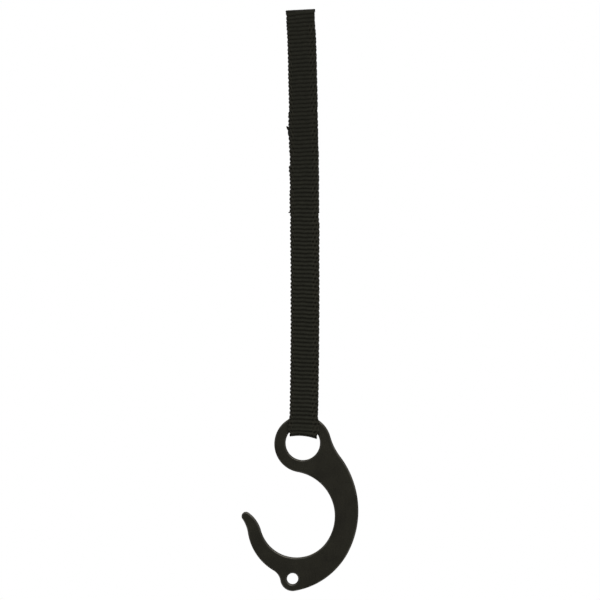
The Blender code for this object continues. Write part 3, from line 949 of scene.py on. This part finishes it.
def hookPlate(material):
    # The plate as a stack of outlines, drawn in over its rounded edges
    half, edge = plate["thickness"] / 2, plate["edgeRound"]
    circles, (holeX, holeZ) = hookCircles()
    arcs = hookArcs(circles)
    turns = [i / plate["edgeSteps"] * math.pi / 2 for i in range(plate["edgeSteps"] + 1)]
    # The third value is how much of the edges' wear and painted highlight a section takes, most at the middle
    # of the rounding
    front = [(edge + plate["flatRing"], -half, 0.0)]
    front += [(edge * (1 - math.sin(a)), -half + edge * (1 - math.cos(a)), math.sin(a * 2)) for a in turns]
    sections = front + [(inset, -depth, wearAndHighlight) for inset, depth, wearAndHighlight in reversed(front)]
    outlines = (
        lambda inset: hookOutline(arcs, inset),
        lambda inset: holeOutline(0, 0, plate["eyeRadius"], inset),
        lambda inset: holeOutline(holeX, holeZ, plate["holeRadius"], inset),
    )
    mesh = bmesh.new()
    wearAndHighlightLayer = mesh.verts.layers.float.new("edge")
    rims = ([], [])
    for outline in outlines:
        loops = []
        for inset, depth, wearAndHighlight in sections:
            loop = [mesh.verts.new((eye.x + x, depth, eye.z + z)) for x, z in outline(inset)]
            for vertex in loop:
                vertex[wearAndHighlightLayer] = wearAndHighlight
            loops.append(loop)
        for lower, upper in zip(loops, loops[1:]):
            for k in range(len(lower)):
                mesh.faces.new((lower[k - 1], lower[k], upper[k], upper[k - 1]))
        for rim, loop in zip(rims, (loops[0], loops[-1])):
            rim += [mesh.edges.get((loop[k - 1], loop[k])) for k in range(len(loop))]
    for rim in rims:
        bmesh.ops.triangle_fill(mesh, edges=rim, use_beauty=True)
    bmesh.ops.recalc_face_normals(mesh, faces=mesh.faces)
    data = bpy.data.meshes.new("hook_plate_body")
    mesh.to_mesh(data)
    mesh.free()
    piece = finishPiece("hook_plate_body", data, material)
    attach(piece, "hook")
    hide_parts("hook_plate")
    return piece


# Stage, light and camera

stage = {
    "floorDrop": 0.030,  # below the hook's lowest point
    "floorRadius": 1.6,
    "floorSides": 96,
    "floorColour": "#dededc",
    "floorRoughness": 0.9,
    "clearRadius": 0.16,  # the floor shows its shade inside this
    "whiteRadius": 0.352,  # and has faded to white here
    "ambient": 0.50,
}
lamps = {  # power in watts, size and place
    "softbox_above": (38.0, 0.8, (0.80, -0.95, 1.5)),
    "softbox_front": (4.0, 1.4, (0.50, -1.3, -0.2)),
    "softbox_behind": (22.0, 1.2, (-0.70, 1.3, 1.1)),
}
photo = {
    "frameHeight": 0.34286,  # what the photograph's 600 pixels span
    "centre": (-0.00026, 0, -0.1645),  # what the camera and the lamps look at
    "lens": 250,  # mm, a long lens, because the photograph shows no perspective
    "sensor": 36,  # mm
}


def paleFloor():
    # Matte white board. It keeps the object's shade near it and meets the white background without an edge.
    material, tree, shader = newMaterial("white_board")
    place = addNode(tree, "ShaderNodeTexCoord").outputs["Object"]
    distance = addNode(tree, "ShaderNodeVectorMath", {0: place}, operation="LENGTH").outputs["Value"]
    seen = addNode(tree, "ShaderNodeLightPath").outputs["Is Camera Ray"]
    far = addNode(tree, "ShaderNodeMapRange", {
        "Value": distance, "From Min": stage["clearRadius"], "From Max": stage["whiteRadius"],
    }, interpolation_type="SMOOTHSTEP")
    share = addNode(tree, "ShaderNodeMath", {0: far.outputs[0], 1: seen}, operation="MULTIPLY")
    white = addNode(tree, "ShaderNodeEmission", {"Color": (1, 1, 1, 1), "Strength": 1.0})
    shader.inputs["Base Color"].default_value = hexColour(stage["floorColour"])
    shader.inputs["Roughness"].default_value = stage["floorRoughness"]
    mixed = addNode(tree, "ShaderNodeMixShader", {
        0: share.outputs[0], 1: shader.outputs[0], 2: white.outputs[0],
    })
    tree.links.new(mixed.outputs[0], tree.nodes["Material Output"].inputs["Surface"])
    return material


def makeFloor():
    mesh = bmesh.new()
    bmesh.ops.create_circle(mesh, cap_ends=True, segments=stage["floorSides"], radius=stage["floorRadius"])
    data = bpy.data.meshes.new("floor")
    mesh.to_mesh(data)
    mesh.free()
    data.materials.append(paleFloor())
    floor = bpy.data.objects.new("floor", data)
    floor.location = (0, 0, cadBox[0].z - stage["floorDrop"])
    bpy.context.scene.collection.objects.link(floor)


def makeWorld():
    # White where the camera, gloss and glass see it, and a plain level of light on the object
    world = bpy.data.worlds.new("studio")
    bpy.context.scene.world = world
    world.use_nodes = True
    tree = world.node_tree
    rays = addNode(tree, "ShaderNodeLightPath").outputs
    seen = rays["Is Camera Ray"]
    for kind in ("Is Glossy Ray", "Is Transmission Ray"):
        seen = addNode(tree, "ShaderNodeMath", {0: seen, 1: rays[kind]}, operation="MAXIMUM").outputs[0]
    level = addNode(tree, "ShaderNodeMapRange", {"Value": seen, "To Min": stage["ambient"], "To Max": 1.0})
    background = tree.nodes["Background"]
    background.inputs["Color"].default_value = (1, 1, 1, 1)
    tree.links.new(level.outputs[0], background.inputs["Strength"])


def makeLamps():
    target = Vector(photo["centre"])
    for name, (power, size, place) in lamps.items():
        light = bpy.data.lights.new(name, "AREA")
        light.energy = power
        light.size = size
        lamp = bpy.data.objects.new(name, light)
        lamp.location = place
        lamp.rotation_euler = (target - Vector(place)).to_track_quat("-Z", "Y").to_euler()
        bpy.context.scene.collection.objects.link(lamp)


def makeCamera():
    data = bpy.data.cameras.new("camera")
    data.lens = photo["lens"]
    data.sensor_width = photo["sensor"]
    camera = bpy.data.objects.new("camera", data)
    distance = photo["frameHeight"] * photo["lens"] / photo["sensor"]
    camera.location = Vector(photo["centre"]) - Vector((0, distance, 0))
    camera.rotation_euler = (math.pi / 2, 0, 0)
    bpy.context.scene.collection.objects.link(camera)
    bpy.context.scene.camera = camera
    bpy.context.scene.view_settings.view_transform = "Standard"


makeCamera()
makeFloor()
makeWorld()
makeLamps()
print("stage, lights and camera made")

nylon = wovenNylon()
thread = bondedThread()
aluminium = anodisedAluminium()

# Each length of webbing crosses one joint of the sling, and the lengths meet in a groove between two ribs
splitHeights = {"upper": -0.061, "lower": -0.183}
upperSplit = nearestGroove(frontRun(splitHeights["upper"]))
lowerSplit = nearestGroove(frontRun(splitHeights["lower"]))
backSplit = nearestGroove(backRun(splitHeights["lower"]))
webbingPieces = (
    ("over_top", 0, upperSplit, "sling_fold", ("webbing_top_loop", "webbing_upper_end")),
    ("front", upperSplit, lowerSplit, "sling_twist", ("webbing_middle_front", "webbing_lower_front")),
    ("through_eye", lowerSplit, backSplit, "hook_tilt", ("webbing_bight",)),
    ("back", backSplit, tapeLength, "sling_twist", ("webbing_lower_end", "webbing_lower_back")),
)
for name, runFrom, runTo, joint, nodes in webbingPieces:
    piece = webbingPiece(f"webbing_{name}", runFrom, runTo, nylon)
    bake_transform(piece)
    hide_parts(*nodes)
    print(piece.name, len(piece.data.polygons), "faces")

for i, (node, z) in enumerate(zip(tackNodes, tackHeights)):
    barTack(f"stitches_{i + 1}", node, z, thread)
print("bar tacks sewn:", len(tackNodes))

hookPlate(aluminium)
print("hook plate made")
